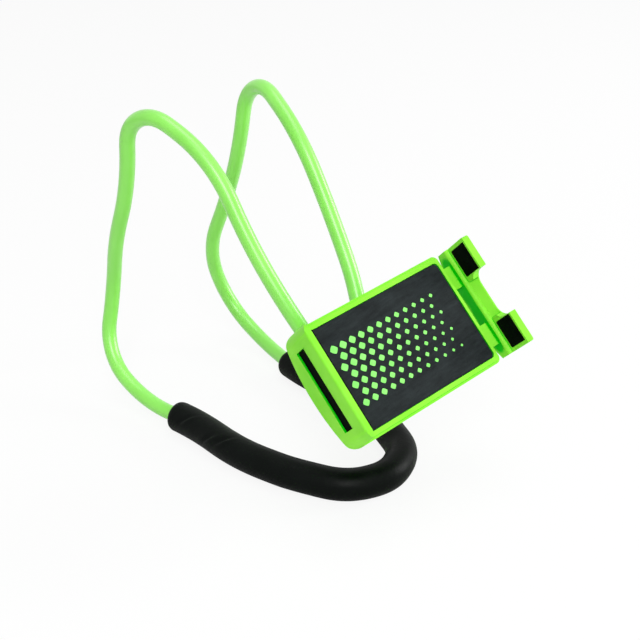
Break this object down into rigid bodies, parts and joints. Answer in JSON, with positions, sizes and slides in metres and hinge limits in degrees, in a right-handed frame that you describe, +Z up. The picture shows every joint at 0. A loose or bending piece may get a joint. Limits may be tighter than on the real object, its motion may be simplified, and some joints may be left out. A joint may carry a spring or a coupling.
{
  "type": "neck phone holder",
  "caption": "Bendable tube with a foam neck sleeve, whose ends meet in a ball mount carrying a spring phone clamp with a padded plate.",
  "frame": {"origin": "On the resting flat under the foam sleeve, below the middle of its closed end.", "axes": "+Z up, +Y from the closed end of the sleeve to the rear bends of the arms, +X to the moving jaw side. The clamp looks along -Y and up."},
  "size_m": [0.0892, 0.1773, 0.1407],
  "materials": {
    "lime_tube": "smooth glossy vinyl",
    "lime_plastic": "smooth moulded plastic",
    "black_foam": "closed-cell foam skin",
    "black_pad": "fine-grained soft pad",
    "jaw_rubber": "matte rubber",
    "black_plastic": "fine moulded texture",
    "soft_aluminium": "drawn wire",
    "zinc_steel": "zinc plated",
    "spring_steel": "spring wire"
  },
  "bodies": {
    "frame": {"core_wire": "soft_aluminium", "bend_tube": "lime_tube", "foam_sleeve": "black_foam", "tube_ferrules": "zinc_steel", "mount_front": "lime_plastic", "mount_back": "lime_plastic", "mount_screws": "zinc_steel"},
    "collar": {"lock_collar": "black_plastic"},
    "ball": {"ball_stud": "black_plastic", "swivel_washer": "zinc_steel", "swivel_screw": "zinc_steel"},
    "clamp": {"rear_cover": "lime_plastic", "cover_screws": "zinc_steel", "front_plate": "lime_plastic", "grip_pad": "black_pad", "fixed_jaw_rubber": "jaw_rubber", "spring_anchor_pins": "zinc_steel", "jaw_springs": "spring_steel"},
    "jaw": {"moving_jaw": "lime_plastic", "upper_prong_rubber": "jaw_rubber", "lower_prong_rubber": "jaw_rubber", "spring_jaw_pins": "zinc_steel"}
  },
  "joints": [
    {"name": "collar_turn", "type": "hinge", "parent": "frame", "child": "collar", "pos_m": [0, 0.00972, 0.05276], "axis": [0, -0.8039, 0.5948], "range_deg": [0, 270]},
    {"name": "ball_tilt", "type": "hinge", "parent": "frame", "child": "ball", "pos_m": [0, 0.00972, 0.05276], "axis": [1, 0, 0], "range_deg": [0, 30]},
    {"name": "clamp_swivel", "type": "hinge", "parent": "ball", "child": "clamp", "pos_m": [0, 0.00972, 0.05276], "axis": [-0.1885, -0.6863, 0.7025], "range_deg": [-180, 75]},
    {"name": "jaw_slide", "type": "slide", "parent": "clamp", "child": "jaw", "axis": [0.9816, -0.1084, 0.1574], "range_m": [0, 0.02], "stiffness_N_per_m": 300, "springref_m": -0.01, "deforming": ["jaw_springs"]}
  ]
}
